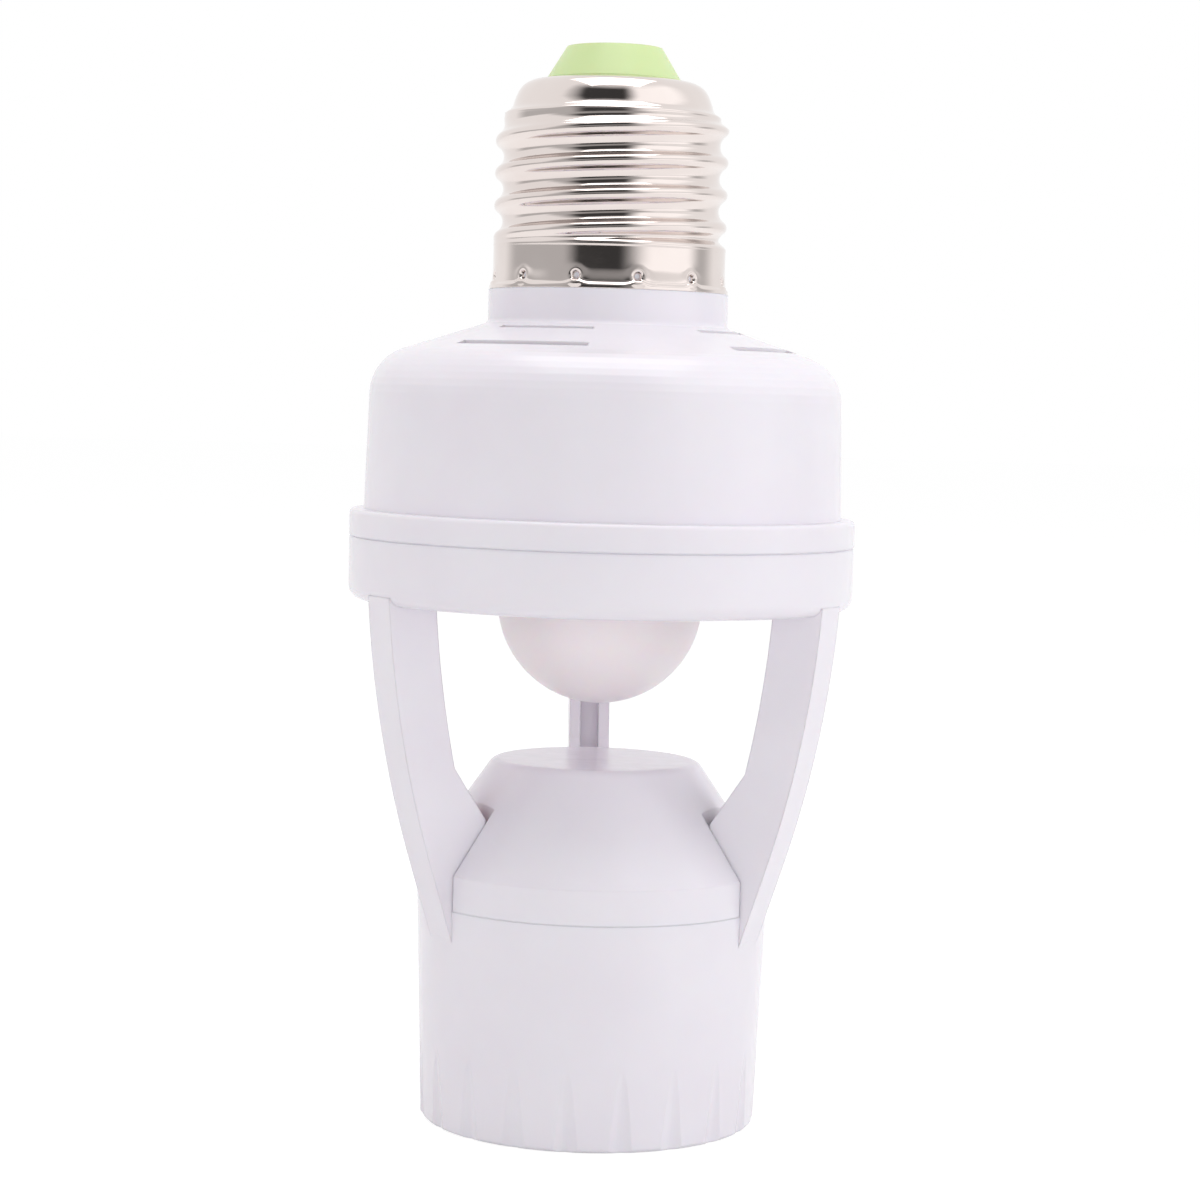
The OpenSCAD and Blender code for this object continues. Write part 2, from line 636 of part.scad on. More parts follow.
// The lens: a thin dome, straight where it passes through the floor, with a flange inside
lens_z = ring_z + 0.2;
lens_flange_t = 1;
module lens_section(inset) {
    intersection() {
        translate([0, lens_z]) circle(r = dome_r - inset);
        translate([0, lens_z - 2 * dome_r]) square([2 * dome_r, 2 * dome_r]);
    }
    translate([0, lens_z - 0.01]) square([dome_r - inset, floor_z - lens_z + lens_flange_t + 0.01 + inset]);
}
module lens_dome() color("ivory") rotate_extrude() difference() {
    union() {
        lens_section(0);
        translate([0, floor_z]) square([dome_r + lens_flange_w, lens_flange_t]);
    }
    lens_section(dome_wall);
    translate([-over, 0]) square([over, top_z]);
}

// The motion sensor hangs from the board into the lens
window_size = [4, 3.2, 0.5];
module pir_sensor() color("silver") difference() {
    union() {
        translate([0, 0, board_z - pir_h]) cylinder(r = pir_r - 0.4, h = pir_h);
        translate([0, 0, board_z - 0.5]) cylinder(r = pir_r, h = 0.5);
    }
    translate([-window_size[0] / 2, -window_size[1] / 2, board_z - pir_h - over])
        cube([window_size[0], window_size[1], window_size[2] + over]);
}
module sensor_window() color("darkslategray")
    translate([-window_size[0] / 2, -window_size[1] / 2, board_z - pir_h]) cube(window_size);
module light_sensor() color("orange") at(light_turn, light_place) translate([0, 0, board_z - 2])
    cylinder(r = light_r, h = 2);

module circuit_board() color("darkgreen") difference() {
    translate([0, 0, board_z]) cylinder(r = board_r, h = board_t);
    for (turn = post_turns) at(turn, post_place) translate([0, 0, board_z - over])
        cylinder(r = screw_r + hole_gap, h = board_t + 2 * over);
}
module screw(z, grip) {
    translate([0, 0, z]) cylinder(r = screw_head_r, h = screw_head_h);
    translate([0, 0, z + screw_head_h / 2]) cylinder(r = screw_r, h = grip + screw_head_h / 2);
}
module head_screws() color("silver") for (turn = post_turns) at(turn, post_place)
    screw(ring_z + head_sink - screw_head_h, board_top_z - ring_z - head_sink + screw_grip);

// Components on the board, each given as its place and its size. Places and footprints are in
// parts of the board's radius, so that they keep their room on it
part = board_r / 22.2;
relay_at = part * [0, 9.2];
relay_size = [part * 19, part * 15.2, 15.3];
dropper_at = part * [0, -7.2];
dropper_size = [part * 18, part * 8, 13];
smoothing_at = part * [-14.2, 3.6];
smoothing_r = part * 4;
smoothing_h = 12;
rectifier_at = part * [13.4, -3.4];
rectifier_size = [part * 6, part * 6, 3];
fuse_at = part * [-13, 12.4];
fuse_r = part * 1.5;
fuse_l = part * 6;
timer_at = part * [0, -16];
timer_size = [part * 9.6, part * 4.6, 3];
module on_board(place, size, bevel) {
    translate([place[0] - size[0] / 2, place[1] - size[1] / 2, board_top_z]) {
        cube([size[0], size[1], size[2] - bevel]);
        translate([bevel, bevel, 0]) cube([size[0] - 2 * bevel, size[1] - 2 * bevel, size[2]]);
    }
}
module relay() color("royalblue") on_board(relay_at, relay_size, 0.6);
module dropper_capacitor() color("firebrick") on_board(dropper_at, dropper_size, 0.4);
module rectifier() color("dimgray") on_board(rectifier_at, rectifier_size, 0.3);
module smoothing_capacitor() color("midnightblue") translate([smoothing_at[0], smoothing_at[1], board_top_z])
    rotate_extrude() polygon([[0, 0], [smoothing_r, 0], [smoothing_r, 1.2], [smoothing_r - 0.4, 1.6],
        [smoothing_r, 2], [smoothing_r, smoothing_h - 0.5], [smoothing_r - 0.5, smoothing_h], [0, smoothing_h]]);
module fuse_resistor() color("tan") translate([fuse_at[0], fuse_at[1], board_top_z]) {
    translate([0, -fuse_l / 2, fuse_r + 0.3]) rotate([-90, 0, 0]) rotate_extrude() polygon([[0, 0], [fuse_r, 0.2],
        [fuse_r, 1.2], [fuse_r - 0.2, 1.5], [fuse_r - 0.2, fuse_l - 1.5], [fuse_r, fuse_l - 1.2],
        [fuse_r, fuse_l - 0.2], [0, fuse_l]]);
    for (end = [-1, 1]) translate([0, end * (fuse_l / 2 + 0.3), 0]) {
        cylinder(r = 0.3, h = fuse_r + 0.6);
        translate([0, -end * 0.6, fuse_r + 0.3]) rotate([end * 90, 0, 0]) translate([0, 0, -0.6]) cylinder(r = 0.3, h = 0.8);
    }
}
module timer_chip() color("black") {
    translate([timer_at[0] - timer_size[0] / 2, timer_at[1] - timer_size[1] / 2, board_top_z + 0.5])
        cube([timer_size[0], timer_size[1], timer_size[2] - 0.5]);
    pin = 0.6;
    for (i = [-1.5 : 1.5], side = [-1, 1])
        translate([timer_at[0] + timer_size[0] * i * 0.265 - pin / 2, timer_at[1] + (side * timer_size[1] - pin) / 2, board_top_z])
            cube([pin, pin, timer_size[2] / 2]);
}

// Wires: each starts and ends flat against what it is soldered to
lead_l = 2 * wire_r;
function leaving(end, up) = [end, end + [0, 0, up * lead_l]];
function meeting(end, up) = [end + [0, 0, up * lead_l], end];
// The supply's two wires come down the bore from the contact's stem and from the cap's dome, and
// stand on the board between the relay and the capacitor
live_in_at = [-0.22 * bore_r, -1.2 * wire_r, board_top_z];
neutral_in_at = [0.34 * bore_r, -1.2 * wire_r, board_top_z];
module live_in_wire() color("red") wire(concat(
    leaving([0, 0, insulator_z - plug_h - stem_tail], -1),
    [[live_in_at[0] * 0.7, live_in_at[1] * 0.7, thread_z], [live_in_at[0], live_in_at[1], neck_z]],
    meeting(live_in_at, 1)), [0, 1, 0]);
module neutral_in_wire() color("white") wire(concat(
    leaving([cap_hole_r + 1.5 * wire_r, 0, insulator_z - 0.8 * dome_crown - cap_sheet], -1),
    [[0.66 * bore_r, 0, boss_top_z - lead_l], [0.5 * bore_r, neutral_in_at[1] / 2, thread_z],
     [neutral_in_at[0], neutral_in_at[1], neck_z]],
    meeting(neutral_in_at, 1)), [0, 1, 0]);

// A lamp wire leaves the board, drops through the ring's floor into an arm's groove, follows it to
// the gusset's tip, goes in under the cover and ends on a rivet of the socket base
function in_arm(turn, r, z) = [r * cos(turn), r * sin(turn), z];
function groove_point(turn, z) = in_arm(turn, bend_r(z, arm_depth - wire_inset), z);
function lamp_wire_points(turn, end) =
    let (low_z = meet_z(wire_inset, cover_top_z),
         low = [bend_r(low_z, arm_depth - wire_inset), low_z],
         foot = tip(wire_inset),
         inside = under_cover(wire_inset),
         between = (low + foot) / 2)
    concat(leaving(in_arm(turn, board_r - 0.8 * board_edge, board_top_z), 1),
        [in_arm(turn, board_r + board_edge * 0.4, board_top_z + lead_l * 0.7), groove_point(turn, floor_z + wire_r),
         groove_point(turn, ring_z - lead_l), groove_point(turn, ring_z - window_h / 3),
         groove_point(turn, ring_z - window_h * 2 / 3), in_arm(turn, low[0], low[1] + wire_r),
         in_arm(turn, between[0], between[1]), in_arm(turn, foot[0], foot[1]), in_arm(turn, inside[0], inside[1]),
         in_arm(turn, inside[0] * 0.72, inside[1] - 2 * lead_l)],
        meeting(end, 1));
rivet_head_h = 0.8;
rivet_top_z = ledge_z + rivet_head_h;
leaf_rivet_at = [-leaf_rivet_place, 0];
shell_rivet_at = [socket_screw_place, 0];
module live_out_wire() color("red")
    wire(lamp_wire_points(live_arm_turn, [leaf_rivet_at[0], 0, rivet_top_z]), in_arm(live_arm_turn + 90, 1, 0.05));
module neutral_out_wire() color("white")
    wire(lamp_wire_points(neutral_arm_turn, [shell_rivet_at[0], 0, rivet_top_z]), in_arm(neutral_arm_turn + 90, 1, 0.05));

// The lamp socket: a base drawn up against the cup's ledge, with the threaded shell below it
base_r = mouth_r - fit_gap;
module socket_base() color("gainsboro") difference() {
    union() {
        translate([0, 0, base_z]) cylinder(r = base_r, h = base_t);
        translate([0, 0, pad_z]) cylinder(r = pad_r, h = pad_h + over);
    }
    for (turn = socket_screw_turns) at(turn, socket_screw_place) cylinder(r = screw_r + hole_gap, h = cup_h);
    translate([leaf_rivet_at[0], 0, 0]) cylinder(r = rivet_r + hole_gap, h = cup_h);
    translate([shell_rivet_at[0], 0, 0]) cylinder(r = rivet_r + hole_gap, h = cup_h);
}
shell_end_z = base_z - shell_sheet;
shell_mouth_z = shell_end_z - shell_thread_h - shell_collar_h;
module socket_shell() color("silver") difference() {
    union() {
        translate([0, 0, shell_mouth_z]) ring(shell_r + shell_sheet, shell_r, shell_collar_h);
        rolled_thread(shell_r + shell_sheet, shell_depth, shell_mouth_z + shell_collar_h, shell_end_z,
                      shell_sheet, shell_mouth_z + shell_collar_h + crest_lift, 0);
        translate([0, 0, shell_end_z]) ring(shell_r + shell_sheet, pad_r + fit_gap, shell_sheet);
    }
    for (turn = socket_screw_turns) at(turn, socket_screw_place) cylinder(r = screw_r + hole_gap, h = cup_h);
    translate([shell_rivet_at[0], 0, 0]) cylinder(r = rivet_r + hole_gap, h = cup_h);
}

// The contact leaf: a level foot round its rivet, a tongue that drops to the tip, and a turned-up end
module socket_contact() color("gold") difference() {
    foot_l = leaf_rivet_place - 1.3;
    rotate([90, 0, 0]) translate([0, 0, -leaf_w / 2]) linear_extrude(leaf_w) polygon([
        [-leaf_rivet_place - foot_l, foot_z], [-leaf_rivet_place + foot_l, foot_z],
        [leaf_reach - 1.2, foot_z - leaf_drop + leaf_t], [leaf_reach, foot_z - leaf_drop + leaf_t],
        [leaf_reach + 0.9, foot_z - leaf_drop + leaf_t + 0.8], [leaf_reach + 0.9, foot_z - leaf_drop + 2 * leaf_t + 0.9],
        [leaf_reach - 0.1, foot_z - leaf_drop + 2 * leaf_t], [leaf_reach - 1.1, foot_z - leaf_drop + 2 * leaf_t],
        [-leaf_rivet_place + foot_l + 0.1, foot_z + leaf_t], [-leaf_rivet_place - foot_l, foot_z + leaf_t]]);
    translate([leaf_rivet_at[0], 0, 0]) cylinder(r = rivet_r + 0.3, h = cup_h);
}
module rivet(place, low_z) {
    translate([place[0], place[1], 0]) {
        translate([0, 0, low_z - rivet_head_h]) cylinder(r = 2 * rivet_r, h = rivet_head_h);
        translate([0, 0, low_z - rivet_head_h / 2]) cylinder(r = rivet_r, h = rivet_top_z - low_z);
        translate([0, 0, ledge_z]) cylinder(r = 2 * rivet_r, h = rivet_head_h);
    }
}
module contact_rivets() color("goldenrod") {
    rivet(leaf_rivet_at, foot_z - leaf_gap);
    rivet(shell_rivet_at, shell_end_z);
}
module socket_screws() color("silver") for (turn = socket_screw_turns) at(turn, socket_screw_place)
    screw(shell_end_z - screw_head_h, ledge_z + screw_grip - 1 - shell_end_z);

bracket();
wiring_cover();
upper_housing();
screw_cap();
cap_insulator();
cap_contact();
lens_dome();
pir_sensor();
sensor_window();
light_sensor();
circuit_board();
head_screws();
relay();
dropper_capacitor();
smoothing_capacitor();
rectifier();
fuse_resistor();
timer_chip();
live_in_wire();
neutral_in_wire();
live_out_wire();
neutral_out_wire();
socket_base();
socket_shell();
socket_contact();
contact_rivets();
socket_screws();
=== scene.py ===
import json
import math

import bpy
from mathutils import Matrix, Vector


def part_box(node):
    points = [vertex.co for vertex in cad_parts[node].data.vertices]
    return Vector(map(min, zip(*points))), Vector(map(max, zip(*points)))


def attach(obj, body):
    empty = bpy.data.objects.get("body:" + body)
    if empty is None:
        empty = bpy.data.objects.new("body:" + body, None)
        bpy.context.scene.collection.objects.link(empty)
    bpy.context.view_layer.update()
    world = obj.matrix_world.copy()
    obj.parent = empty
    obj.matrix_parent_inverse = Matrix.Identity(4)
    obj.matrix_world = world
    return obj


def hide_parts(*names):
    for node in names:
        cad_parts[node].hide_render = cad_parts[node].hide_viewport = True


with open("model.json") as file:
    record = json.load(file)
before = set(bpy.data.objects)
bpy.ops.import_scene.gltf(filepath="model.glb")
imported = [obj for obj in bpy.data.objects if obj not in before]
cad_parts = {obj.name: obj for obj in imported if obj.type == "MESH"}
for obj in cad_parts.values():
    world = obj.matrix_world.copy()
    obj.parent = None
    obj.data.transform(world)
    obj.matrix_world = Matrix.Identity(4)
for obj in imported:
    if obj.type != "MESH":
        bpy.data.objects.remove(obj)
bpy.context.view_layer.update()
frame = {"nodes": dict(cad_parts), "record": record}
nodes = frame["nodes"]
MM = 0.001


# Tools for shader nodes
def add(tree, kind, inputs=None, **settings):
    """A new node. inputs says what feeds each of its sockets: a number, a colour or another socket."""
    node = tree.nodes.new(kind)
    for name, value in settings.items():
        setattr(node, name, value)
    for place, source in (inputs or {}).items():
        if isinstance(source, bpy.types.NodeSocket):
            tree.links.new(source, node.inputs[place])
        else:
            node.inputs[place].default_value = source
    return node


def linear(colour):
    """Linear values of a colour given as 0 to 255."""
    out = []
    for c in colour:
        c = c / 255
        out.append(c / 12.92 if c <= 0.04045 else ((c + 0.055) / 1.055) ** 2.4)
    return (*out, 1.0)


def noise(tree, scale, detail):
    """A noise over the object, with features 1 / scale metres wide."""
    where = add(tree, "ShaderNodeTexCoord").outputs["Object"]
    cloud = add(tree, "ShaderNodeTexNoise", {"Vector": where, "Scale": scale, "Detail": detail})
    return cloud.outputs["Fac"]


def spread(tree, value, low, high, start=0.3, end=0.7):
    """The value from start to end, carried over to low to high."""
    ends = {"From Min": start, "From Max": end, "To Min": low, "To Max": high}
    return add(tree, "ShaderNodeMapRange", {"Value": value, **ends}).outputs["Result"]


def maths(tree, operation, *values):
    """One Math node over sockets and numbers."""
    return add(tree, "ShaderNodeMath", dict(enumerate(values)), operation=operation).outputs[0]


def blend(tree, share, first, second):
    """Two colours mixed: all of the first where share is 0, and all of the second where it is 1."""
    return add(tree, "ShaderNodeMix", {0: share, 6: first, 7: second}, data_type="RGBA").outputs[2]


def mix_shaders(tree, share, first, second):
    """Two shaders mixed in the same way."""
    return add(tree, "ShaderNodeMixShader", {0: share, 1: first.outputs[0], 2: second.outputs[0]})


def bare_material(name):
    """A material with nothing but its output, and its node tree."""
    mat = bpy.data.materials.new(name)
    mat.use_nodes = True
    tree = mat.node_tree
    tree.nodes.remove(tree.nodes["Principled BSDF"])
    return mat, tree


def show_surface(tree, shader):
    tree.links.new(shader.outputs[0], tree.nodes["Material Output"].inputs["Surface"])


# Materials: each has a tint that wanders a little, a roughness that wanders too, and a fine bump
BEVEL_SAMPLES = 4
BUMP_STRENGTH = 0.6
HAZE_PER_GRAIN = 3


def material(name, pale, deep, rough, grain=90, bump=0.0, bump_grain=2500, edge=0.0, **own):
    """A Principled material.

    pale and deep are its two tints, and rough is its lowest and highest roughness. grain and bump_grain
    are the features a metre of the tint and of the bump. bump is the bump's height in metres, and edge
    the radius in metres that its edges seem to have. The rest are sockets of the shader.
    """
    mat = bpy.data.materials.new(name)
    mat.use_nodes = True
    tree = mat.node_tree
    shader = tree.nodes["Principled BSDF"]
    cloud = spread(tree, noise(tree, grain, 3.0), 0.0, 1.0)
    tree.links.new(blend(tree, cloud, linear(pale), linear(deep)), shader.inputs["Base Color"])
    haze = noise(tree, grain * HAZE_PER_GRAIN, 2.0)
    tree.links.new(spread(tree, haze, rough[0], rough[1]), shader.inputs["Roughness"])
    normal = None
    if edge:
        normal = add(tree, "ShaderNodeBevel", {"Radius": edge}, samples=BEVEL_SAMPLES).outputs["Normal"]
    if bump:
        ripple = {"Height": noise(tree, bump_grain, 3.0), "Strength": BUMP_STRENGTH, "Distance": bump}
        if normal:
            ripple["Normal"] = normal
        normal = add(tree, "ShaderNodeBump", ripple).outputs["Normal"]
    if normal:
        tree.links.new(normal, shader.inputs["Normal"])
    for socket, value in own.items():
        shader.inputs[socket.replace("_", " ")].default_value = value
    return mat


LOOKS = {
    "white_plastic": dict(
        pale=(243, 239, 246), deep=(240, 235, 243), rough=(0.2, 0.27),
        bump=0.000004, edge=0.0003, Subsurface_Weight=0.08, Subsurface_Scale=0.0012,
    ),
    "nickel": dict(
        pale=(228, 219, 215), deep=(221, 210, 206), rough=(0.05, 0.1),
        bump=0.000003, bump_grain=900, Metallic=1.0,
    ),
    "green_plastic": dict(
        pale=(214, 233, 172), deep=(209, 229, 164), rough=(0.3, 0.38),
        bump=0.000005, edge=0.00015, Subsurface_Weight=0.15, Subsurface_Scale=0.001,
    ),
    "contact_nickel": dict(
        pale=(226, 222, 214), deep=(214, 208, 198), rough=(0.12, 0.2),
        bump=0.000004, edge=0.0001, Metallic=1.0,
    ),
    "lens_plastic": dict(
        pale=(253, 243, 246), deep=(251, 240, 243), rough=(0.36, 0.44),
        bump=0.000006, bump_grain=1800, Subsurface_Weight=0.3, Subsurface_Scale=0.0005,
    ),
    "sensor_can": dict(
        pale=(206, 206, 204), deep=(190, 190, 188), rough=(0.25, 0.35),
        bump=0.000004, Metallic=1.0,
    ),
    "sensor_filter": dict(
        pale=(34, 36, 46), deep=(26, 28, 36), rough=(0.08, 0.14),
    ),
    "photocell": dict(
        pale=(214, 120, 60), deep=(190, 96, 44), rough=(0.3, 0.4), grain=900,
    ),
    "board_green": dict(
        pale=(34, 92, 52), deep=(24, 74, 42), rough=(0.3, 0.4), grain=400,
        bump=0.00001, edge=0.0001,
    ),
    "screw_steel": dict(
        pale=(206, 204, 200), deep=(186, 184, 180), rough=(0.2, 0.32),
        bump=0.000006, edge=0.00012, Metallic=1.0,
    ),
    "relay_blue": dict(
        pale=(52, 96, 170), deep=(44, 84, 154), rough=(0.35, 0.42),
        bump=0.000005, edge=0.0002,
    ),
    "film_red": dict(
        pale=(168, 44, 40), deep=(150, 36, 34), rough=(0.2, 0.3),
        bump=0.00001, edge=0.0003,
    ),
    "sleeve_blue": dict(
        pale=(34, 40, 86), deep=(28, 32, 70), rough=(0.25, 0.35),
        bump=0.000004, edge=0.0002,
    ),
    "chip_black": dict(
        pale=(34, 34, 36), deep=(24, 24, 26), rough=(0.5, 0.6),
        bump=0.000006, edge=0.0001,
    ),
    "resistor_tan": dict(
        pale=(206, 176, 132), deep=(190, 160, 118), rough=(0.4, 0.5), bump=0.000005,
    ),
    "wire_red": dict(
        pale=(186, 36, 34), deep=(170, 28, 28), rough=(0.35, 0.45), bump=0.000005,
    ),
    "wire_white": dict(
        pale=(230, 228, 224), deep=(218, 216, 210), rough=(0.35, 0.45), bump=0.000005,
    ),
    "base_plastic": dict(
        pale=(232, 228, 224), deep=(224, 219, 214), rough=(0.4, 0.5),
        bump=0.00001, edge=0.00015,
    ),
    "shell_metal": dict(
        pale=(220, 214, 206), deep=(204, 196, 188), rough=(0.12, 0.2),
        bump=0.000004, bump_grain=900, Metallic=1.0,
    ),
    "leaf_brass": dict(
        pale=(214, 178, 104), deep=(196, 158, 88), rough=(0.18, 0.28),
        bump=0.000004, edge=0.0001, Metallic=1.0,
    ),
}
finishes = {name: material(name, **look) for name, look in LOOKS.items()}
slot_of = {s["node"]: s["material_slot"] for s in frame["record"]["subparts"]}
for name, node in nodes.items():
    for place in node.material_slots:
        place.material = finishes[slot_of[name]]


# Meshes and objects
def show(name, data):
    """A new object in the scene."""
    thing = bpy.data.objects.new(name, data)
    bpy.context.scene.collection.objects.link(thing)
    return thing


def ringed_mesh(name, rings, mat):
    """A mesh of rings of points, each joined to the next one. All rings have the same number of points."""
    count = len(rings[0])
    faces = []
    for j in range(len(rings) - 1):
        row = j * count
        below = row + count
        for i in range(count):
            k = (i + 1) % count
            faces.append((row + i, row + k, below + k, below + i))
    mesh = bpy.data.meshes.new(name)
    mesh.from_pydata([point for ring in rings for point in ring], [], faces)
    mesh.materials.append(mat)
    return mesh


def ring_at(z, turns, radii):
    """A ring of points at one height, with a radius in millimetres for each turn in degrees."""
    ring = []
    for turn, r in zip(turns, radii):
        angle = math.radians(turn)
        ring.append((r * math.cos(angle) * MM, r * math.sin(angle) * MM, z * MM))
    return ring


def ease(x):
    """0 to 1 with level ends."""
    x = min(1.0, max(0.0, x))
    return x * x * (3 - 2 * x)


def bell(x, width):
    """1 where x is 0, and falling away to both sides."""
    return math.exp(-((x / width) ** 2))


# The screw cap, with a fine thread, punch marks and a rolled rim, in millimetres and degrees
CAP_Z = round(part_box("screw_cap")[0].z / MM, 2)
THREAD_Z = CAP_Z + 4.95
THREAD_H = 14.6
THREAD_TOP = THREAD_Z + THREAD_H
THREAD_R = 13.15
THREAD_DEPTH = 0.95
ROOT_R = THREAD_R - THREAD_DEPTH
PITCH = 3.63
CREST_Z = THREAD_Z + 2.63
# Share of the pitch that the tight arc over the crest takes
CREST_SHARE = 0.36
# Length over which the thread grows out of the skirt and dies into the shoulder
RUNOUT = 1.2
PUNCHES = 12
PUNCH_STEP = 360 / PUNCHES
PUNCH_TURN = 11.5
PUNCH_Z = CAP_Z + 1.4
PUNCH_DEPTH = 0.9
PUNCH_R = 0.32
# The metal pushed up round each punch mark: height, distance from its middle and width
LIP_H = 0.05
LIP_R = 0.75
LIP_W = 0.5
# The plain skirt leans out below the band, and its rolled rim rises at each punch mark
SKIRT_R = THREAD_R - 0.04
BAND_Z = CAP_Z + 2.55
LEAN = 0.11
LEAN_H = 2.2
RIM_H = 0.75
RIM_RISE = 0.4
RIM_RISE_W = 0.9
FLARE = 0.28
FLARE_H = 0.4
# Radius and height of the rim's inner edge and foot
UNDER_RIM = [(THREAD_R - 0.35, CAP_Z + 0.25), (THREAD_R + 0.05, CAP_Z)]
# Radius of the shoulder, and height above the thread
SHOULDER = [
    (ROOT_R, 0.15), (11.95, 0.35), (11.6, 0.55), (11.35, 0.9), (11.2, 1.4), (11.0, 2.0), (10.75, 2.6),
    (10.4, 3.15), (9.95, 3.55), (9.4, 3.82), (8.6, 3.96), (7.4, 4.0), (7.3, 3.7),
]
# How fine the mesh is: points round the cap for each punch mark, their spacing at the mark as a share of
# the even one, rows over the rim and their spacing, the band's spacing and the rows of the thread
TURNS_EACH = 36
MARK_SPACING = 0.35
RIM_ROWS = 31
RIM_STEP = 0.075
BAND_STEP = 0.28
BAND_END = THREAD_Z - 0.3
THREAD_ROWS = 118


def cap_turns():
    """Angles round the cap, closer together at each punch mark."""
    turns = []
    for punch in range(PUNCHES):
        for k in range(TURNS_EACH):
            u = k / TURNS_EACH - 0.5
            bunched = MARK_SPACING * u + (1 - MARK_SPACING) * 4 * u**3
            turns.append(PUNCH_TURN + PUNCH_STEP * (punch + bunched))
    return turns


def cap_levels():
    """Heights of the rings, from the rim to the end of the thread."""
    levels = [CAP_Z + RIM_STEP * k for k in range(RIM_ROWS)]
    while levels[-1] < BAND_END:
        levels.append(levels[-1] + BAND_STEP)
    return levels + [THREAD_Z + THREAD_H * k / THREAD_ROWS for k in range(THREAD_ROWS + 1)]


def thread_drop(turn, z):
    """0 at a crest to THREAD_DEPTH in a trough, with a tight arc over the crest and a wide one below."""
    both_r = ((PITCH / 2) ** 2 + THREAD_DEPTH**2) / (2 * THREAD_DEPTH)
    crest_r = CREST_SHARE * both_r
    trough_r = both_r - crest_r
    off_crest = abs((((z - CREST_Z) / PITCH - turn / 360 + 0.5) % 1) - 0.5) * PITCH
    if off_crest < CREST_SHARE * PITCH / 2:
        return crest_r - math.sqrt(crest_r**2 - off_crest**2)
    return THREAD_DEPTH - trough_r + math.sqrt(trough_r**2 - (PITCH / 2 - off_crest) ** 2)


def thread_r(turn, z):
    """Radius over the thread, from the crests' radius at its foot to the root's at its top."""
    below = ease((z - THREAD_Z) / RUNOUT)
    above = ease((THREAD_TOP - z) / RUNOUT)
    return THREAD_R - THREAD_DEPTH * (1 - above) - above * below * thread_drop(turn, z)


def skirt_r(turn, z):
    """Radius over the plain skirt, its punch marks and its rolled rim."""
    along = math.radians((turn - PUNCH_TURN + PUNCH_STEP / 2) % PUNCH_STEP - PUNCH_STEP / 2) * THREAD_R
    away = math.hypot(along, z - PUNCH_Z)
    dent = PUNCH_DEPTH * bell(away, PUNCH_R) - LIP_H * bell(away - LIP_R, LIP_W)
    lean = LEAN * ease((BAND_Z - z) / LEAN_H)
    rim_h = RIM_H + RIM_RISE * bell(along, RIM_RISE_W)
    flare = FLARE * ease((CAP_Z + rim_h - z) / FLARE_H)
    return SKIRT_R + lean + flare - dent


def screw_cap():
    """The cap's outer face, from the rim's inner edge up to the insulator."""
    turns = cap_turns()
    rings = [ring_at(z, turns, [r] * len(turns)) for r, z in UNDER_RIM]
    for z in cap_levels():
        radius = thread_r if z >= THREAD_Z else skirt_r
        rings.append(ring_at(z, turns, [radius(turn, z) for turn in turns]))
    rings += [ring_at(THREAD_TOP + h, turns, [r] * len(turns)) for r, h in SHOULDER]
    mesh = ringed_mesh("screw_cap_fine", rings, finishes["nickel"])
    mesh.shade_smooth()
    return show("screw_cap_fine", mesh)


cap = screw_cap()
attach(cap, "holder")
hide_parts("screw_cap")

# Camera: fitted to the photo's ellipses, in the model's frame and in metres
CAMERA_AT = (-0.01487, -0.34063, 0.08255)
HEADING = math.radians(2.5)
TIP_DOWN = math.radians(3.924)
ROLL = math.radians(1.562)
FOCAL_MM = 90
SENSOR_MM = 36
NEAREST = 0.01


def place_camera():
    """A camera turned from +Y towards +X by HEADING, then tipped down and rolled."""
    ahead = Vector((math.sin(HEADING), math.cos(HEADING), 0))
    side = Vector((math.cos(HEADING), -math.sin(HEADING), 0))
    up = Vector((0, 0, 1))
    look = ahead * math.cos(TIP_DOWN) - up * math.sin(TIP_DOWN)
    top = ahead * math.sin(TIP_DOWN) + up * math.cos(TIP_DOWN)
    right = side * math.cos(ROLL) + top * math.sin(ROLL)
    top = top * math.cos(ROLL) - side * math.sin(ROLL)
    lens = bpy.data.cameras.new("camera")
    lens.lens = FOCAL_MM
    lens.sensor_width = SENSOR_MM
    lens.clip_start = NEAREST
    camera = show("camera", lens)
    rows = [(right[i], top[i], -look[i], CAMERA_AT[i]) for i in range(3)]
    camera.matrix_world = Matrix((*rows, (0, 0, 0, 1)))
    return camera


bpy.context.scene.camera = place_camera()
bpy.context.scene.view_settings.view_transform = "Standard"

# Studio: a white world and floor, cards that only reflections meet, and soft lamps
WORLD_LIGHT = 0.52
WORLD_SHOWN = 1.0
# The paper's tone as it throws light on the object, and its tone and glow as it is seen
PAPER_TONE = 0.8
SHOWN_TONE = 0.3
FLOOR_GLOW = 0.84
FLOOR_REACH = 4
# The floor is this much under the object, so that the two faces don't meet
FLOOR_GAP = 0.0001


def seen_or_mirrored(tree):
    """1 for the rays that show a background: camera, glossy and transmission."""
    path = add(tree, "ShaderNodeLightPath")
    total = path.outputs["Is Camera Ray"]
    for ray in ("Is Glossy Ray", "Is Transmission Ray"):
        total = maths(tree, "MAXIMUM", total, path.outputs[ray])
    return total


def white_world():
    """A white background, which lights the object with less than it shows."""
    world = bpy.data.worlds.new("studio")
    world.use_nodes = True
    sky = world.node_tree
    white = sky.nodes["Background"]
    white.inputs["Color"].default_value = (1, 1, 1, 1)
    strength = spread(sky, seen_or_mirrored(sky), WORLD_LIGHT, WORLD_SHOWN, 0.0, 1.0)
    sky.links.new(strength, white.inputs["Strength"])
    return world


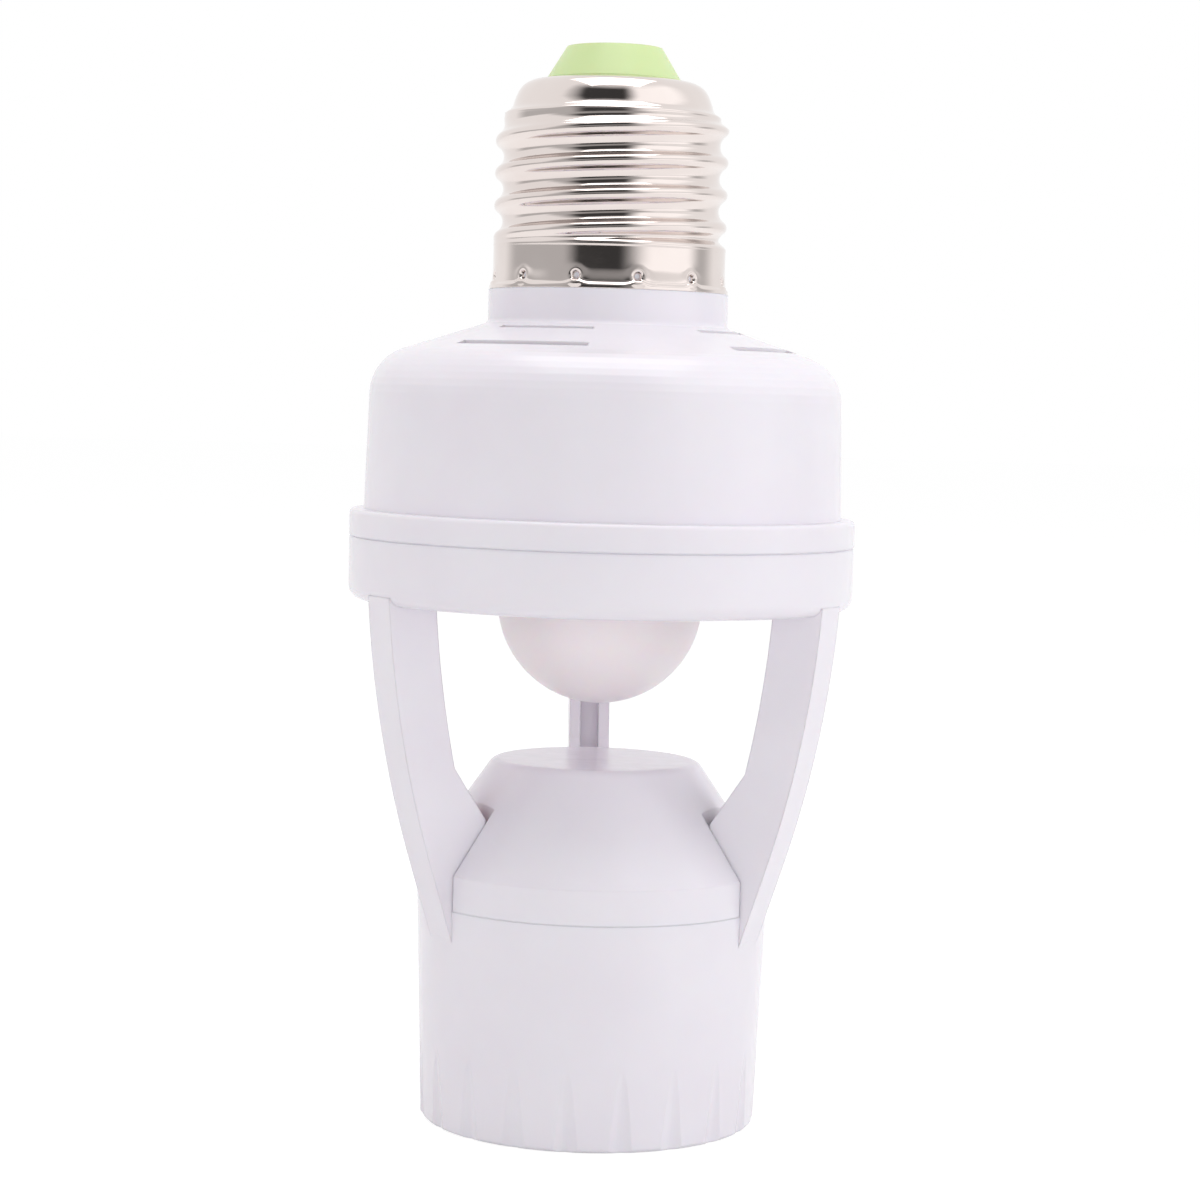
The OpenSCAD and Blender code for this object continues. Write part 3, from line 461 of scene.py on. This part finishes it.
def paper_material():
    """White paper that keeps a shadow. It is clear from below, so that a low view meets the object."""
    paper, tree = bare_material("paper")
    matt = add(tree, "ShaderNodeBsdfDiffuse", {"Color": (PAPER_TONE, PAPER_TONE, PAPER_TONE, 1)})
    dim = add(tree, "ShaderNodeBsdfDiffuse", {"Color": (SHOWN_TONE, SHOWN_TONE, SHOWN_TONE, 1)})
    glow = add(tree, "ShaderNodeEmission", {"Strength": FLOOR_GLOW})
    shown = add(tree, "ShaderNodeAddShader", {0: dim.outputs[0], 1: glow.outputs[0]})
    above = mix_shaders(tree, seen_or_mirrored(tree), matt, shown)
    clear = add(tree, "ShaderNodeBsdfTransparent")
    face = add(tree, "ShaderNodeNewGeometry")
    show_surface(tree, mix_shaders(tree, face.outputs["Backfacing"], above, clear))
    return paper


bpy.context.scene.world = white_world()
sheet = bpy.data.meshes.new("floor")
corners = [(-FLOOR_REACH, -FLOOR_REACH), (FLOOR_REACH, -FLOOR_REACH)]
corners += [(FLOOR_REACH, FLOOR_REACH), (-FLOOR_REACH, FLOOR_REACH)]
sheet.from_pydata([(x, y, 0) for x, y in corners], [], [(0, 1, 2, 3)])
sheet.materials.append(paper_material())
floor = show("floor", sheet)
floor.location = (0, 0, -FLOOR_GAP)

# Cards that only reflections meet: a grey one at the left, a dark gap at the front and a bright window at
# the right, in three tiers. A stop is degrees round from the front, and a tone from 0 to 255. The second
# list of each tier is HUNG where there is a card, and CLEAR where the white background shows instead.
CARD = 175
GREY = 145
GAP = 55
WINDOW = 255
CLEAR = 0
HUNG = 255
LEVEL = [(-105, CARD), (-50, CARD), (-30, GAP), (5, GAP), (42, WINDOW), (78, WINDOW), (100, CARD)]
LEVEL_HUNG = [(-130, CLEAR), (-105, HUNG), (100, HUNG), (125, CLEAR)]
RAISED = [(-60, CARD), (-20, GREY), (10, GREY), (40, CARD)]
RAISED_HUNG = [(-80, CLEAR), (-60, HUNG), (25, HUNG), (50, CLEAR)]
HIGH = [(-60, CARD), (-40, GAP), (10, GAP), (35, WINDOW)]
HIGH_HUNG = [(-75, CLEAR), (-55, HUNG), (80, HUNG), (110, CLEAR)]
# Spans in degrees above the middle, over which a tier turns into the next, or the cards come in from none
FOOT = (-22, -12)
LEVEL_TO_RAISED = (7, 11)
RAISED_TO_HIGH = (20, 26)
TOP = (62, 50)
CARD_GLOW = 1.3
# The sphere that the cards hang on: its radius and height in millimetres, and its sides
TENT_R = 1600
TENT_Z = 100
TENT_SIDES = 48


def ramp(tree, round_it, stops):
    """Tones, 0 to 255, blended along the way round from behind, 0, past the front, 0.5, to behind, 1."""
    node = add(tree, "ShaderNodeValToRGB", {"Fac": round_it})
    band = node.color_ramp
    band.interpolation = "EASE"
    places = [(turn + 180) / 360 for turn, tone in stops]
    for place in places[2:]:
        band.elements.new(place)
    for stop, place in zip(band.elements, places):
        stop.position = place
    for stop, (turn, tone) in zip(band.elements, stops):
        stop.color = linear([tone] * 3)
    return node.outputs["Color"]


def risen(tree, height, span):
    """0 to 1 while the height goes from the first to the second end of a span."""
    return spread(tree, height, 0.0, 1.0, math.radians(span[0]), math.radians(span[1]))


def cards_material():
    """The cards, by the direction from the middle of the sphere that they hang on."""
    mat, tree = bare_material("tent")
    where = add(tree, "ShaderNodeTexCoord").outputs["Object"]
    unit = add(tree, "ShaderNodeVectorMath", {0: where}, operation="NORMALIZE")
    apart = add(tree, "ShaderNodeSeparateXYZ", {0: unit.outputs[0]})
    angle = maths(tree, "ARCTAN2", apart.outputs["X"], maths(tree, "MULTIPLY", apart.outputs["Y"], -1.0))
    round_it = spread(tree, angle, 0.0, 1.0, -math.pi, math.pi)
    height = maths(tree, "ARCSINE", apart.outputs["Z"])
    over_level = risen(tree, height, LEVEL_TO_RAISED)
    over_raised = risen(tree, height, RAISED_TO_HIGH)

    def by_height(*tiers):
        """The stops of three tiers as one colour, from the lowest tier to the highest."""
        level, raised, high = [ramp(tree, round_it, stops) for stops in tiers]
        return blend(tree, over_raised, blend(tree, over_level, level, raised), high)

    tones = by_height(LEVEL, RAISED, HIGH)
    shine = add(tree, "ShaderNodeEmission", {"Color": tones, "Strength": CARD_GLOW})
    hung = by_height(LEVEL_HUNG, RAISED_HUNG, HIGH_HUNG)
    for edge in (TOP, FOOT):
        hung = maths(tree, "MULTIPLY", hung, risen(tree, height, edge))
    open_air = add(tree, "ShaderNodeBsdfTransparent")
    show_surface(tree, mix_shaders(tree, hung, open_air, shine))
    return mat


def tent_rings():
    """Rings of a whole sphere from its top down."""
    turns = [360 * i / TENT_SIDES for i in range(TENT_SIDES)]
    rings = []
    for j in range(TENT_SIDES // 2 + 1):
        tilt = 2 * math.pi * j / TENT_SIDES
        rings.append(ring_at(TENT_R * math.cos(tilt), turns, [TENT_R * math.sin(tilt)] * TENT_SIDES))
    return rings


tent = show("tent", ringed_mesh("tent", tent_rings(), cards_material()))
tent.location = (0, 0, TENT_Z * MM)
for ray in ("camera", "diffuse", "shadow", "transmission", "volume_scatter"):
    setattr(tent, "visible_" + ray, False)

# Lamps: soft boxes that look at the middle of the object, in metres
LAMPS_LOOK_AT = (0, 0, 0.06)


def soft_box(name, place, width, height, radiance, tint=(1, 1, 1), mirrored=True):
    """A rectangular lamp. mirrored says whether reflections show it."""
    lamp = bpy.data.lights.new(name, "AREA")
    lamp.color = tint
    lamp.shape = "RECTANGLE"
    lamp.size = width
    lamp.size_y = height
    lamp.energy = radiance * math.pi * width * height
    box = show(name, lamp)
    turn = (Vector(LAMPS_LOOK_AT) - Vector(place)).to_track_quat("-Z", "Y")
    box.matrix_world = Matrix.Translation(place) @ turn.to_matrix().to_4x4()
    box.visible_camera = False
    box.visible_glossy = mirrored


soft_box("soft_left", (-0.6, 0.15, 0.3), 0.5, 0.6, 0.75, (1.0, 0.96, 0.97), mirrored=False)
soft_box("soft_right", (0.62, -0.08, 0.3), 0.5, 0.6, 1.4, (0.98, 0.98, 1.0), mirrored=False)
soft_box("soft_top", (0.0, -0.05, 0.8), 0.6, 0.6, 2.0)
soft_box("soft_front", (0.0, -0.9, 0.05), 0.8, 0.5, 1.1, mirrored=False)
soft_box("soft_floor", (0.0, -0.09, 0.0005), 0.4, 0.4, 0.12, mirrored=False)
